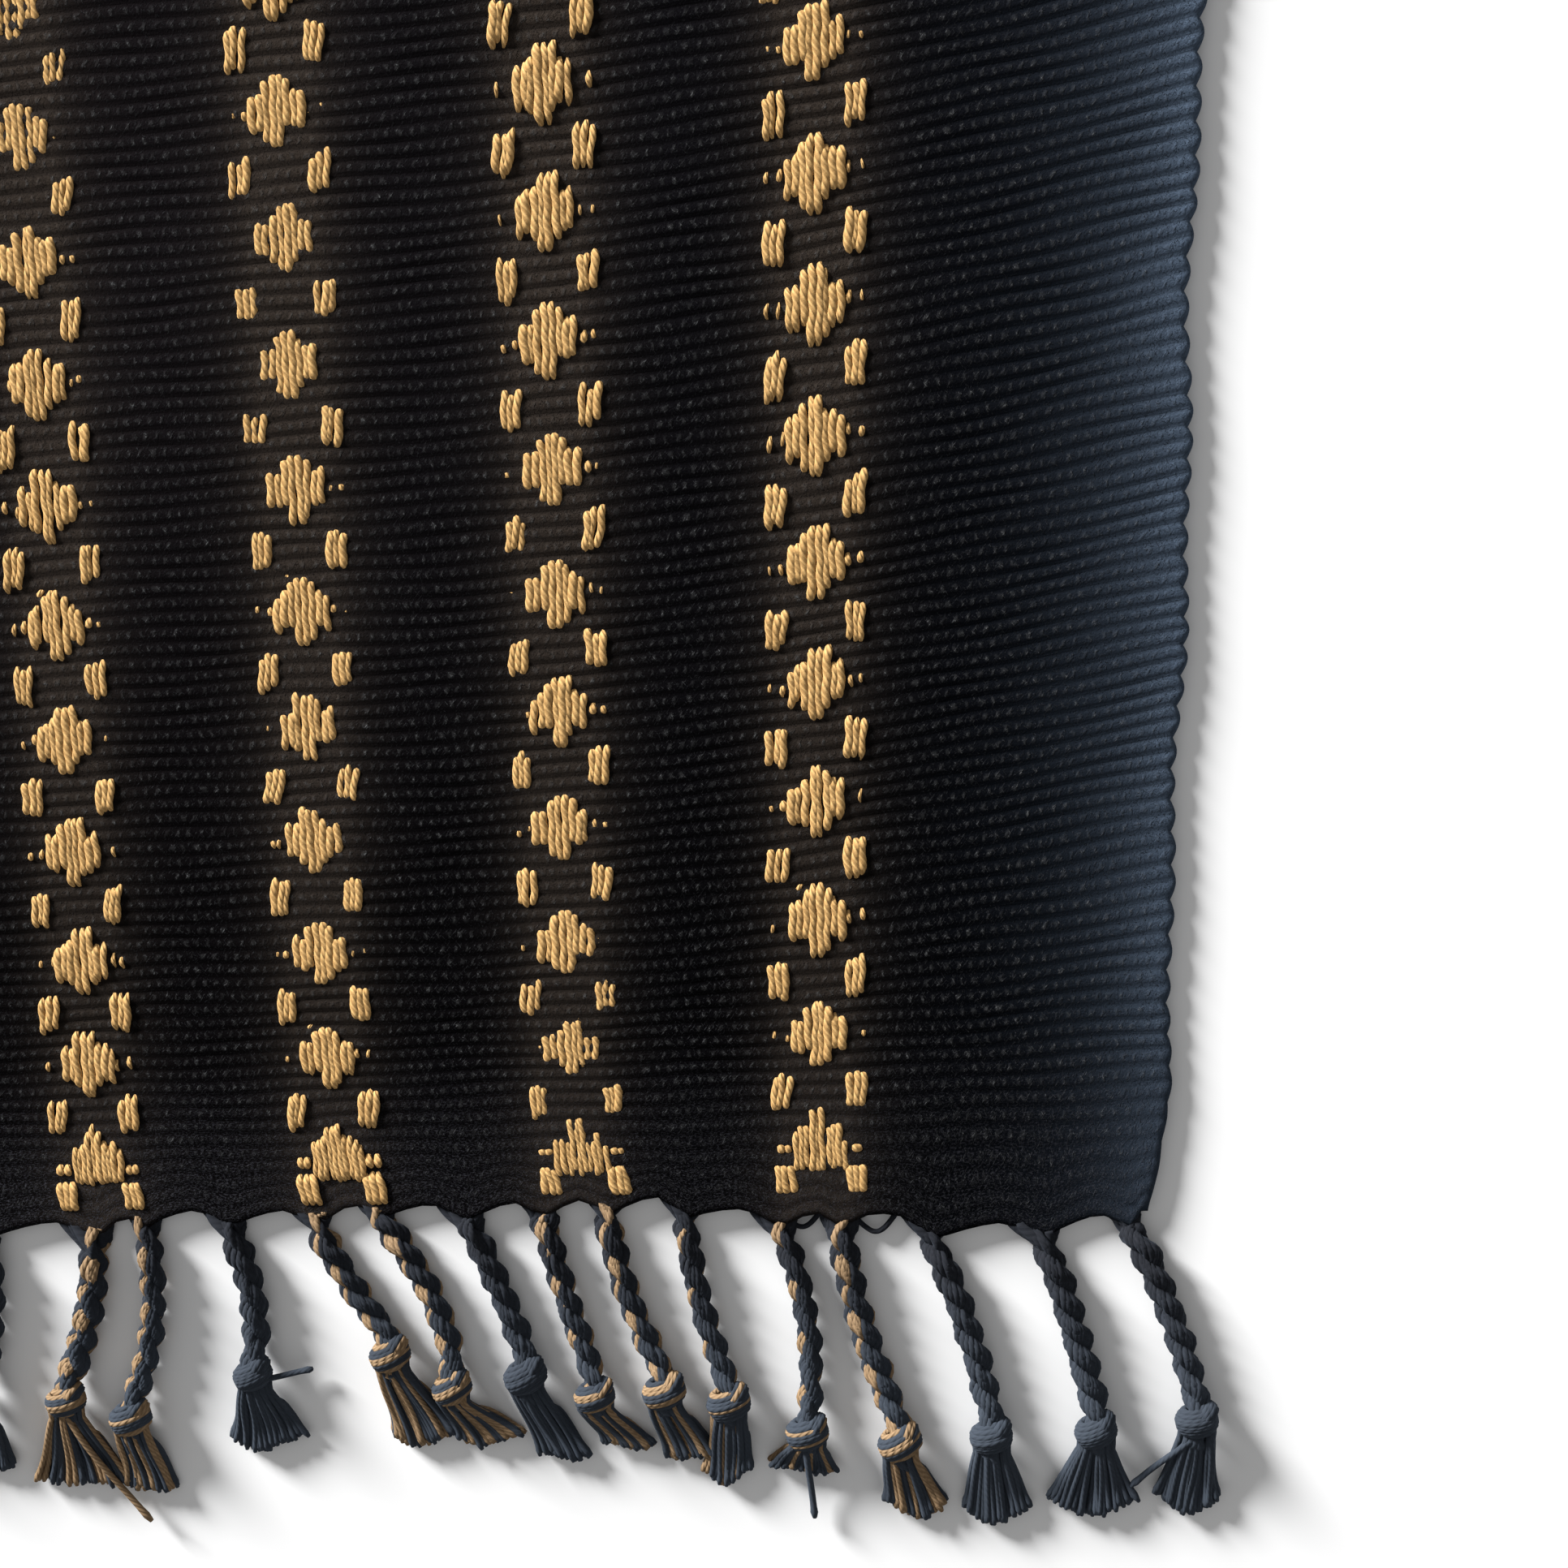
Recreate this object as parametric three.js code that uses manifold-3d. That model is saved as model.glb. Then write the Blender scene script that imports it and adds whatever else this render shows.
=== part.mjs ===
// A handwoven table runner, lying flat: black ribbed ground cloth, seven bands of tan
// pattern warp set into its face, and a row of twisted, knotted fringe cords at each end.
// Millimetres, +Z up. The table is z = 0, the cloth runs along Y and its width along X.
import * as THREE from "three";
import Module from "manifold-3d";

const wasm = await Module();
wasm.setup();

// Weave
const RIB_PITCH = 2.29; // one weft
const RIBS_PER_MOTIF = 8;
const MOTIF_PITCH = RIB_PITCH * RIBS_PER_MOTIF;
const FIRST_DIAMOND = 26.8; // hem to the centre of the first whole diamond
const WHOLE_MOTIFS = 67; // motif pitches between the first and last whole diamond
const CLOTH_LENGTH = MOTIF_PITCH * WHOLE_MOTIFS + 2 * FIRST_DIAMOND;
const CLOTH_THICKNESS = 2.4;
const WEFT_SKEW = 0.0488; // the wefts and hems rise this much per unit of width

// Pattern bands
const BAND_COUNT = 7;
const BAND_PITCH = 40;
const BORDER = 55; // outer band centre to the selvedge
const CLOTH_WIDTH = BAND_PITCH * (BAND_COUNT - 1) + 2 * BORDER;
const DIAMOND_HALF_WIDTH = 6.6;
const WAIST_HALF_WIDTH = 2.4; // the band between two diamonds
const BAND_RISE = 0.3; // how far the tan yarn stands above the black cloth
const SLOT_HALF_WIDTH = 7;
const SLOT_DEPTH = 1.2;
const HEADING = 4.6; // plain black cloth between the band's end and the hem
const GAP = 0.3; // clearance between neighbouring pieces

// Fringe cords, as half widths and half heights
const CORD_RADIUS = 2.4;
const CORD_SIDES = 8;
const ROOT = { halfWidth: 4.0, halfHeight: CLOTH_THICKNESS / 2 };
const KNOT = { halfWidth: 4.2, halfHeight: 3.4, halfLength: 3.6 };
const TASSEL = { halfWidth: 3.4, halfHeight: 1.7, widestAt: 0.6 };
const TASSEL_TIP = { halfWidth: 3.2, halfHeight: 0.8 };

// Each cord of one end, from the left selvedge to the right. root, knot and tip are places
// across the width; knotOut and tipOut are distances out from the hem.
const CORDS = [
  { root: -170.6, knot: -180.2, knotOut: 35.6, tip: -182.0, tipOut: 51 },
  { root: -155.6, knot: -164.0, knotOut: 38.2, tip: -165.5, tipOut: 53 },
  { root: -138.4, knot: -147.1, knotOut: 36.4, tip: -149.0, tipOut: 52 },
  { root: -124.9, knot: -131.8, knotOut: 33.8, tip: -134.0, tipOut: 49, tan: true },
  { root: -114.5, knot: -121.6, knotOut: 37.4, tip: -121.0, tipOut: 52, tan: true },
  { root: -99.3, knot: -106.0, knotOut: 31.2, tip: -109.0, tipOut: 46 },
  { root: -85.0, knot: -92.6, knotOut: 35.2, tip: -96.0, tipOut: 49, tan: true },
  { root: -75.2, knot: -81.4, knotOut: 30.6, tip: -83.5, tipOut: 45, tan: true },
  { root: -60.8, knot: -65.0, knotOut: 33.6, tip: -66.0, tipOut: 48 },
  { root: -44.4, knot: -50.3, knotOut: 28.8, tip: -53.0, tipOut: 44, tan: true },
  { root: -34.6, knot: -38.2, knotOut: 34.8, tip: -39.0, tipOut: 50, tan: true },
  { root: -20.5, knot: -23.2, knotOut: 31.6, tip: -24.5, tipOut: 46 },
  { root: -1.9, knot: -9.2, knotOut: 32.3, tip: -9.5, tipOut: 49, tan: true },
  { root: 7.2, knot: 3.5, knotOut: 36.0, tip: 6.5, tipOut: 52, tan: true },
  { root: 21.9, knot: 25.3, knotOut: 27.8, tip: 28.5, tipOut: 42 },
  { root: 37.8, knot: 49.0, knotOut: 24.2, tip: 53.0, tipOut: 40, tan: true },
  { root: 47.4, knot: 59.3, knotOut: 30.2, tip: 66.0, tipOut: 42, tan: true },
  { root: 63.1, knot: 71.8, knotOut: 28.1, tip: 77.5, tipOut: 44 },
  { root: 75.0, knot: 83.3, knotOut: 31.8, tip: 88.0, tipOut: 43, tan: true },
  { root: 85.7, knot: 94.9, knotOut: 31.0, tip: 98.0, tipOut: 44, tan: true },
  { root: 99.1, knot: 105.6, knotOut: 34.0, tip: 107.0, tipOut: 49 },
  { root: 113.9, knot: 117.7, knotOut: 38.3, tip: 117.5, tipOut: 50, tan: true },
  { root: 123.7, knot: 133.7, knotOut: 40.5, tip: 136.5, tipOut: 54, tan: true },
  { root: 138.7, knot: 148.5, knotOut: 39.8, tip: 149.5, tipOut: 56 },
  { root: 156.7, knot: 164.6, knotOut: 38.3, tip: 164.6, tipOut: 53 },
  { root: 170.8, knot: 181.3, knotOut: 36.2, tip: 180.0, tipOut: 53 },
];

const BLACK_COTTON = 0x17191d;
const TAN_COTTON = 0xc29250;
const MIXED_COTTON = 0x4a3c2c;

function material(color, roughness) {
  return new THREE.MeshStandardMaterial({ color, roughness, metalness: 0 });
}

function named(name, geometry, color, roughness = 0.95) {
  const mesh = new THREE.Mesh(geometry, material(color, roughness));
  mesh.name = name;
  return mesh;
}

// The y of the hem at the near end, at width x.
function nearHem(x) {
  return -CLOTH_LENGTH / 2 + WEFT_SKEW * x;
}

// A closed geometry from rings of equal length, joined in order and capped at both ends.
function loft(rings) {
  const sides = rings[0].length;
  const index = [];
  for (let ring = 0; ring + 1 < rings.length; ring++) {
    for (let side = 0; side < sides; side++) {
      const a = ring * sides + side;
      const b = ring * sides + ((side + 1) % sides);
      index.push(a, b, b + sides, a, b + sides, a + sides);
    }
  }
  const last = (rings.length - 1) * sides;
  for (let side = 1; side + 1 < sides; side++) {
    index.push(0, side + 1, side);
    index.push(last, last + side, last + side + 1);
  }
  const geometry = new THREE.BufferGeometry();
  geometry.setAttribute(
    "position",
    new THREE.Float32BufferAttribute(rings.flat(2), 3),
  );
  geometry.setIndex(index);
  geometry.computeVertexNormals();
  return geometry;
}

// A slab with sides along Y and ends along the wefts; y is given at x = 0.
function skewedSlab(x0, x1, y0, y1, z0, z1) {
  const ring = (y) => [
    [x0, y + WEFT_SKEW * x0, z0],
    [x0, y + WEFT_SKEW * x0, z1],
    [x1, y + WEFT_SKEW * x1, z1],
    [x1, y + WEFT_SKEW * x1, z0],
  ];
  return loft([ring(y0), ring(y1)]);
}

function toManifold(geometry) {
  return new wasm.Manifold(
    new wasm.Mesh({
      numProp: 3,
      vertProperties: geometry.getAttribute("position").array,
      triVerts: new Uint32Array(geometry.index.array),
    }),
  );
}

function fromManifold(solid) {
  const mesh = solid.getMesh();
  const geometry = new THREE.BufferGeometry();
  geometry.setAttribute(
    "position",
    new THREE.BufferAttribute(mesh.vertProperties, mesh.numProp),
  );
  geometry.setIndex(new THREE.BufferAttribute(mesh.triVerts, 1));
  geometry.computeVertexNormals();
  return geometry;
}

function bandCentre(band) {
  return (band - (BAND_COUNT - 1) / 2) * BAND_PITCH;
}

// The black cloth, with one blind slot in its face for each pattern band.
function groundCloth() {
  const half = CLOTH_LENGTH / 2;
  const slab = skewedSlab(
    -CLOTH_WIDTH / 2,
    CLOTH_WIDTH / 2,
    -half,
    half,
    0,
    CLOTH_THICKNESS,
  );
  let cloth = toManifold(slab);
  for (let band = 0; band < BAND_COUNT; band++) {
    const centre = bandCentre(band);
    const slot = skewedSlab(
      centre - SLOT_HALF_WIDTH,
      centre + SLOT_HALF_WIDTH,
      -half + HEADING,
      half - HEADING,
      CLOTH_THICKNESS - SLOT_DEPTH,
      CLOTH_THICKNESS + 1,
    );
    cloth = cloth.subtract(toManifold(slot));
  }
  return named("ground_cloth", fromManifold(cloth), BLACK_COTTON);
}

// One band of tan warp: a chain of diamonds, each joined to the next by a narrow waist.
function patternBand(band) {
  const centre = bandCentre(band);
  const bottom = CLOTH_THICKNESS - SLOT_DEPTH + GAP;
  const top = CLOTH_THICKNESS + BAND_RISE;
  const ring = (y, halfWidth) => {
    const left = centre - halfWidth;
    const right = centre + halfWidth;
    return [
      [left, y + WEFT_SKEW * left, bottom],
      [left, y + WEFT_SKEW * left, top],
      [right, y + WEFT_SKEW * right, top],
      [right, y + WEFT_SKEW * right, bottom],
    ];
  };
  const end = CLOTH_LENGTH / 2 - HEADING - GAP;
  const firstDiamond = -CLOTH_LENGTH / 2 + FIRST_DIAMOND;
  const rings = [ring(-end, DIAMOND_HALF_WIDTH)];
  rings.push(ring(firstDiamond - MOTIF_PITCH / 2, WAIST_HALF_WIDTH));
  for (let motif = 0; motif <= WHOLE_MOTIFS; motif++) {
    const y = firstDiamond + motif * MOTIF_PITCH;
    rings.push(ring(y, DIAMOND_HALF_WIDTH));
    rings.push(ring(y + MOTIF_PITCH / 2, WAIST_HALF_WIDTH));
  }
  rings.push(ring(end, DIAMOND_HALF_WIDTH));
  return named(`pattern_band_${band + 1}`, loft(rings), TAN_COTTON, 0.9);
}

// A flat-bottomed ring of a cord resting on the table at (x, y), square to the direction.
function cordRing(x, y, direction, halfWidth, halfHeight) {
  const flat = Math.cos(Math.PI / CORD_SIDES);
  const ring = [];
  for (let side = 0; side < CORD_SIDES; side++) {
    const angle = ((side + 0.5) * 2 * Math.PI) / CORD_SIDES;
    const across = (halfWidth * Math.cos(angle)) / flat;
    const up = halfHeight * (1 + Math.sin(angle) / flat);
    ring.push([x - direction.y * across, y + direction.x * across, up]);
  }
  return ring;
}

// One fringe cord of the near end: flat root, twisted rope, knot and loose tassel.
function cordGeometry(cord) {
  const outFromHem = (x, out) => new THREE.Vector2(x, nearHem(x) - out);
  const root = outFromHem(cord.root, GAP);
  const knot = outFromHem(cord.knot, cord.knotOut);
  const tip = outFromHem(cord.tip, cord.tipOut);
  const square = new THREE.Vector2(WEFT_SKEW, -1).normalize();
  const along = knot.clone().sub(root).normalize();
  const tail = tip.clone().sub(knot).normalize();
  const beforeKnot = knot.clone().addScaledVector(along, -KNOT.halfLength);
  const afterKnot = knot.clone().addScaledVector(tail, KNOT.halfLength);
  const neck = root.clone().lerp(knot, 0.3);
  const widest = afterKnot.clone().lerp(tip, TASSEL.widestAt);
  const stations = [
    [root, square, ROOT.halfWidth, ROOT.halfHeight],
    [neck, along, CORD_RADIUS, CORD_RADIUS],
    [beforeKnot, along, CORD_RADIUS, CORD_RADIUS],
    [knot, along, KNOT.halfWidth, KNOT.halfHeight],
    [afterKnot, tail, CORD_RADIUS, CORD_RADIUS],
    [widest, tail, TASSEL.halfWidth, TASSEL.halfHeight],
    [tip, tail, TASSEL_TIP.halfWidth, TASSEL_TIP.halfHeight],
  ];
  return loft(
    stations.map(([point, direction, halfWidth, halfHeight]) =>
      cordRing(point.x, point.y, direction, halfWidth, halfHeight),
    ),
  );
}

// All cords of one end. The far end is the near end turned half round.
function fringe(end, turn) {
  return CORDS.map((cord, i) => {
    const number = String(i + 1).padStart(2, "0");
    const color = cord.tan ? MIXED_COTTON : BLACK_COTTON;
    const geometry = cordGeometry(cord).rotateZ(turn);
    return named(`fringe_cord_${end}_${number}`, geometry, color);
  });
}

const group = new THREE.Group();
group.add(groundCloth());
for (let band = 0; band < BAND_COUNT; band++) group.add(patternBand(band));
group.add(...fringe("near", 0), ...fringe("far", Math.PI));

export default group;
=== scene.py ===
import math

import bpy
import numpy as np
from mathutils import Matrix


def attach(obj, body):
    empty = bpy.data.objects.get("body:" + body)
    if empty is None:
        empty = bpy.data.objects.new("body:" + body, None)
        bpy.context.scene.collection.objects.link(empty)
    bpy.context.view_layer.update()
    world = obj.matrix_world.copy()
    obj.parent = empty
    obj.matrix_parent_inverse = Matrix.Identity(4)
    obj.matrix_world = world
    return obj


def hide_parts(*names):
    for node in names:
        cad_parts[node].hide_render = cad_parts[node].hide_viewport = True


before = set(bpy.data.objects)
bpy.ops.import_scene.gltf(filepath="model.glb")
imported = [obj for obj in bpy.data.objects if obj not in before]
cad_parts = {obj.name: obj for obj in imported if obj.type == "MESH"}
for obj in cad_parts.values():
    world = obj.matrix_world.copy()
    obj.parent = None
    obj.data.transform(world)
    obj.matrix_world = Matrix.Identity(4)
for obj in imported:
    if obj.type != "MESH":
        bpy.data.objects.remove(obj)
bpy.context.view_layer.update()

MM = 0.001

# Cloth
HALF_WIDTH = 175.0
HALF_LENGTH = 640.46
THICKNESS = 2.4
RIB_PITCH = 2.29
HEM_EDGE = 0.46  # bare edge outside the first rib
RIB_DEPTH = 0.24
EDGE_HEIGHT = 1.9  # top of the cloth's blunt edge
RIB_SAMPLES = 5  # rows of the mesh in each rib
RIB_COUNT = round(2 * (HALF_LENGTH - HEM_EDGE) / RIB_PITCH)
EDGE_STEPS = (0.0, 0.5, 1.1, 1.9, 3.0)  # columns of the mesh at a selvedge, from it
EDGE_STRIP = 5.0  # where its evenly spaced columns start
EDGE_ROUNDING = 1.9  # how far in the top of the edge is rounded
SELVEDGE_SCALLOP = 0.42
SCALLOP_RUN = 4.5  # how far in the scallops fade
SWING_RUN = 20.0  # how far in the slower swings of the selvedge fade
CLOTH_COLUMNS = 131  # evenly spaced ones
HEM_NARROWING = 2.7  # at each selvedge, over the last ribs

# Lie of the wefts
HEM_SKEW = 0.0488
INNER_SKEW = 0.026  # extra skew away from the hems
WEFT_BOW = 9.0  # rise of the wefts at a selvedge
BOW_START = 60.0
NEAR_RUN = 60.0  # distance over which the wefts settle to the near hem's line
FAR_RUN = 260.0
# Past the near hem the wefts hang slack for a stretch: distances from the hem over which
# that starts and ends, how far they hang, and what each millimetre sideways adds to it
SLACK_STARTS = (20.0, 48.0)
SLACK_ENDS = (95.0, 150.0)
SLACK_DEPTH = 1.0
SLACK_GROWTH = 0.009
# Close to the near hem, on the right, they are pushed up: how far, the u over which that
# grows, and its middle and reach from the hem
CROWD_RISE = 1.2
CROWD_SIDE = (20.0, 80.0)
CROWD_PLACE = 17.0
CROWD_RUN = 9.0

# Pattern
BAND_PITCH = 40.0
BAND_COUNT = 7
BAND_DRIFTS = (-0.6, 0.8, -1.2, 0.6, 2.4, 3.3, 1.0)  # sideways, at the near hem
# How far in each band's dots and bars at the near hem are moved, in ribs
HEM_RISES = (0.0, 0.0, 0.0, 0.0, 0.25, 0.6, 0.5)
DRIFT_RUN = 16.0  # distance over which a band comes back to its line
STRAND_PITCH = 1.09
STRAND_RADIUS = 0.66
PLY_PITCH = 1.3  # spacing of the plies' painted highlights and bumps along a yarn
PLY_TURNS = -4.0  # how steeply the marks lie, and to which side
PLY_STAGGER = 0.37  # shift of the marks from each yarn to the next
STRAND_FLATNESS = 0.38  # height of a strand over its width
HEM_STRAND_PITCH = 0.86
BAR_PLACES = (5.05, 6.05, 7.05)  # from the band's centre line
BAR_WIDTH = 0.92  # of a bar's strands, next to a diamond's
BAR_LENGTH = 3.1  # in ribs
UNDERLAY_HALF = 5.0  # half-width of the tan warps lying under the black in a band
UNDERLAY_FADE = 3.2  # how fast they thin out beyond it
WARP_PITCH = 1.9  # spacing of the black warps that carry painted highlights on a rib
HALF_MOTIF_LENGTHS = {-1.5: 4.5, -0.5: 4.7, 0.5: 4.6, 1.5: 3.6}  # middle strands, in ribs
STRAND_SIDES = 8
FLOAT_SINK = 0.7  # how far the ends of a float lie below the face
FLOAT_CLIMB = 0.75  # from there to its top
# Stations along a float, by its length in ribs: from, below, stations
FLOAT_STATIONS = ((0.0, 2.0, 6), (2.0, 4.0, 14), (4.0, 9.0, 22))
FIRST_DIAMOND_RIB = 11
RIBS_PER_MOTIF = 8

# Fringe: one row per cord of the near end, from left to right. Places across the width of
# its root, knot and tip; distances of knot and tip out from the hem; sideways bow of the
# rope, width of the tassel, number of tan yarns and girth.
CORDS = [
    (-170.6, -180.2, 35.6, -182.0, 51.0, 0.6, 10.0, 0, 1.1),
    (-155.6, -164.0, 38.2, -165.5, 53.0, -0.4, 11.0, 0, 1.15),
    (-138.4, -147.1, 36.4, -149.0, 52.0, -1.0, 10.0, 0, 1.1),
    (-124.9, -131.8, 33.8, -134.0, 49.0, 1.3, 8.0, 6, 1.0),
    (-114.5, -121.6, 37.4, -121.0, 52.0, -1.6, 9.0, 5, 1.0),
    (-99.3, -106.0, 31.2, -109.0, 46.0, 0.4, 9.0, 0, 1.1),
    (-85.0, -92.6, 35.2, -96.0, 49.0, 1.2, 8.0, 6, 1.0),
    (-75.2, -81.4, 30.6, -83.5, 45.0, -0.8, 8.0, 4, 0.95),
    (-60.8, -65.0, 33.6, -66.0, 48.0, 1.5, 10.0, 0, 1.1),
    (-44.4, -50.3, 28.8, -53.0, 44.0, -1.2, 9.0, 6, 1.0),
    (-34.6, -38.2, 34.8, -39.0, 50.0, 1.0, 9.0, 7, 1.0),
    (-20.5, -23.2, 31.6, -24.5, 46.0, 1.6, 10.0, 0, 1.1),
    (-0.8, -7.7, 32.3, -6.5, 49.0, 1.3, 17.0, 7, 1.2),
    (7.4, 3.5, 35.5, 5.5, 50.0, 2.6, 8.0, 6, 1.0),
    (21.9, 25.3, 27.6, 26.6, 41.5, 1.8, 13.0, 0, 1.08),
    (37.2, 49.0, 24.2, 54.2, 41.0, -1.0, 11.0, 6, 1.05),
    (47.4, 59.3, 30.2, 65.0, 41.0, 2.7, 11.0, 6, 1.05),
    (62.3, 71.8, 28.1, 77.5, 44.0, 0.5, 8.0, 0, 1.05),
    (75.0, 83.3, 31.8, 88.5, 42.0, -0.4, 8.0, 4, 1.0),
    (85.7, 94.9, 31.0, 99.0, 44.0, -1.4, 8.5, 7, 1.05),
    (98.6, 105.6, 33.0, 105.0, 47.5, -1.2, 7.5, 2, 0.95),
    (113.9, 118.5, 38.3, 117.5, 46.5, 2.2, 11.0, 2, 0.95),
    (123.7, 133.7, 40.0, 136.0, 53.5, -1.3, 9.5, 7, 1.15),
    (138.2, 148.5, 39.0, 149.5, 54.5, 1.0, 10.6, 0, 1.1),
    (156.2, 165.3, 38.0, 165.0, 53.0, 0.4, 14.0, 0, 1.2),
    (170.2, 181.3, 36.2, 180.0, 52.5, 1.0, 9.7, 0, 1.1),
]
# Loose yarns that leave a tassel: how far each ends to the side of its knot, how far out
# from the hem, and how far it sags on the way
STRAYS = {
    13: (13.0, 55.0, 3.0),
    15: (9.8, 27.0, 1.0),
    22: (1.0, 54.5, 0.0),
    26: (-10.2, 49.2, 0.4),
}
STRAY_RADIUS = 0.55
# Loose loops of yarn at the near hem, by cord: from, to and how far each hangs down
HEM_LOOPS = {22: (115.2, 120.8, 2.0), 23: (126.0, 133.0, 3.2)}
LOOP_RADIUS = 0.45
LOOP_INSIDE = 0.6  # how far inside the hem a loop starts
LOOP_STATIONS = 20
YARN_SIDES = 6
TABLE_GAP = 0.02  # least distance of a yarn from the table
YARNS_PER_STRAND = 15  # the first is the core
CORE_RADIUS = 1.05
YARN_RADIUS = 0.6
TASSEL_YARN_RADIUS = 0.46
TAN_TASSEL_RADIUS = 0.5
TIP_SHAPE = (1.05, 1.2, 0.7)  # a loose yarn's thickness over its last stations
STRAND_OFFSET = 0.88  # cord's axis to each strand's axis
YARN_OFFSET = 0.86  # strand's axis to its outer yarns
CORD_TURN = 10.0  # length of one full turn of the two strands
TAN_IN_FIRST = 0.6  # share of a cord's tan yarns that are in its first strand
STRAND_TURN = 9.2  # length of one full turn of the yarns in a strand, the other way
TAN_STRIPES = 19.0  # how finely the tan yarns of a tassel are grouped across it
KNOT_STRIPES = 1.5  # the same, from yarn to yarn of a knot
HALF_TAN = 7.5  # number of tan yarns with which a tassel and a knot are half tan
TASSEL_FILLERS = 44  # yarns that show only below the knot
FILLER_LEAD = 3  # stations above the tassel where they start
TASSEL_CLUMPS = 7
NECK_WIDTH = 5.4  # width of a tassel where it leaves the knot
KNOT_HALF = 2.2  # half-length of the straight stretch in a knot
KNOT_SQUEEZE = 0.85  # girth of the cord in it
SQUEEZE_STATIONS = 6  # over which the cord thins to that
INSIDE_STATIONS = 6  # along the straight stretch
KNOT_STATIONS = 25  # round the knot
# The bands of yarn round a knot: half-width, radius at its sides, crown above them, tilt,
# place of its middle from the knot's, and number of yarns
KNOT_BANDS = (
    (1.95, 1.3, 1.8, 0.36, (-0.1, -0.2), 9),
    (1.25, 1.1, 1.5, 1.0, (0.7, 0.6), 6),
)
KNOT_YARN_RADIUS = 0.6
KNOT_DEPTH = 0.8  # a knot's height over its width
KNOT_TUCK = 0.5  # radians of each band left open on the underside
ROOT_SWELL = 0.3  # extra thickness of a cord at its root
ROOT_SWELL_RUN = 10.0
ROOT_HEIGHT = 1.2  # heights of a cord's line above the table
CORD_HEIGHT = 2.5
KNOT_HEIGHT = 3.4
TASSEL_HEIGHT = 1.5
HEM_DROP = 3.0  # how far a cord draws the hem down at its root
HEM_PULL_RUN = 13.0  # how far into the cloth that reaches
# How far the near hem hangs below its straight line, by place across the width
HEM_SAG = (
    (0.0, 1.0),
    (10.0, -0.9),
    (36.0, -0.5),
    (46.0, -1.8),
    (60.0, -1.1),
    (94.0, -2.1),
    (108.0, 0.2),
    (120.0, 1.0),
    (128.0, 0.3),
    (140.0, 3.0),
    (152.0, 3.0),
    (172.0, 1.2),
)
ARCH_PLACE = 0.62  # top of the arch between two roots, as a share of the way across
GATHER_RIGHT = 3.0  # how far to the right of its root a cord still gathers yarns
GATHER_ORDER = 8.0  # how far down a cord its yarns are sorted for that
ROOT_INSIDE = 1.0  # how far inside the hem the yarns start
START_HEIGHT = 1.25  # height of the yarns there
TAN_INSIDE = 1.9  # how many times as far inside the tan ones start
TAN_START_HEIGHT = 2.2
TAN_START_WIDTH = 4.6  # width over which they start
ROPE_STATIONS = 46
TASSEL_STATIONS = 14

# Camera
CAMERA_PLACE = (0.14826, -0.49670, 0.33000)
CAMERA_TURN = (-11.74, 5.72, -0.32)  # degrees about X, Y and Z
CAMERA_LENS = 50.0

# Floor and light
FLOOR_HALF = 2500.0
SKY_STRENGTH = 0.33
SUN_STRENGTH = 10.3
SUN_ANGLE = 17.0
SUN_ELEVATION = 14.5
SUN_BEARING = -135.0  # the light travels towards +X and -Y


def smoothstep(low, high, x):
    """Rises smoothly from 0 where x is low to 1 where it is high."""
    t = np.clip((x - low) / (high - low), 0.0, 1.0)
    return t * t * (3.0 - 2.0 * t)


def weft_rise(u, v):
    """How far the weft at v has risen at u, above its place at the centre line."""
    from_near = v + HALF_LENGTH
    settled = smoothstep(0, NEAR_RUN, from_near) * smoothstep(0, FAR_RUN, HALF_LENGTH - v)
    bow = np.clip((np.abs(u) - BOW_START) / (HALF_WIDTH - BOW_START), 0, None) ** 2
    slack = smoothstep(*SLACK_STARTS, from_near) * (1 - smoothstep(*SLACK_ENDS, from_near))
    slack = (SLACK_DEPTH + SLACK_GROWTH * np.abs(u)) * slack
    crowd = np.exp(-(((from_near - CROWD_PLACE) / CROWD_RUN) ** 2))
    crowd = CROWD_RISE * smoothstep(*CROWD_SIDE, u) * crowd
    return HEM_SKEW * u + settled * (INNER_SKEW * u + WEFT_BOW * bow) - slack + crowd


def on_table(u, v, z):
    """Points given in the cloth's coordinates, as X, Y and Z above the table."""
    u, v, z = np.broadcast_arrays(u, v, z)
    return np.stack([u, v + weft_rise(u, v), z], axis=-1)


def rib_line(rib):
    """The v of the middle of a rib, counted from the near hem."""
    return -HALF_LENGTH + HEM_EDGE + (rib + 0.5) * RIB_PITCH


def near_hem(x):
    """The Y of the near hem's straight line at x."""
    return -HALF_LENGTH + HEM_SKEW * x


def arch_tops():
    """The places between the cords where the hem is not drawn down, selvedges included."""
    roots = np.array([row[0] for row in CORDS])
    between = roots[:-1] + ARCH_PLACE * np.diff(roots)
    end = HALF_WIDTH - HEM_NARROWING - 0.8
    return np.concatenate([[-end], between, [end]])


def hem_drop(x):
    """How far the hem lies below its straight line at x, where the cords draw it down."""
    roots = np.array([row[0] for row in CORDS])
    tops = arch_tops()
    places = np.concatenate([tops[:1], np.stack([roots, tops[1:]], axis=1).ravel()])
    drawn = np.zeros(len(places))
    drawn[1::2] = 1.0
    return HEM_DROP * np.interp(x, places, drawn) ** 1.5 + np.interp(x, *zip(*HEM_SAG))


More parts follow.
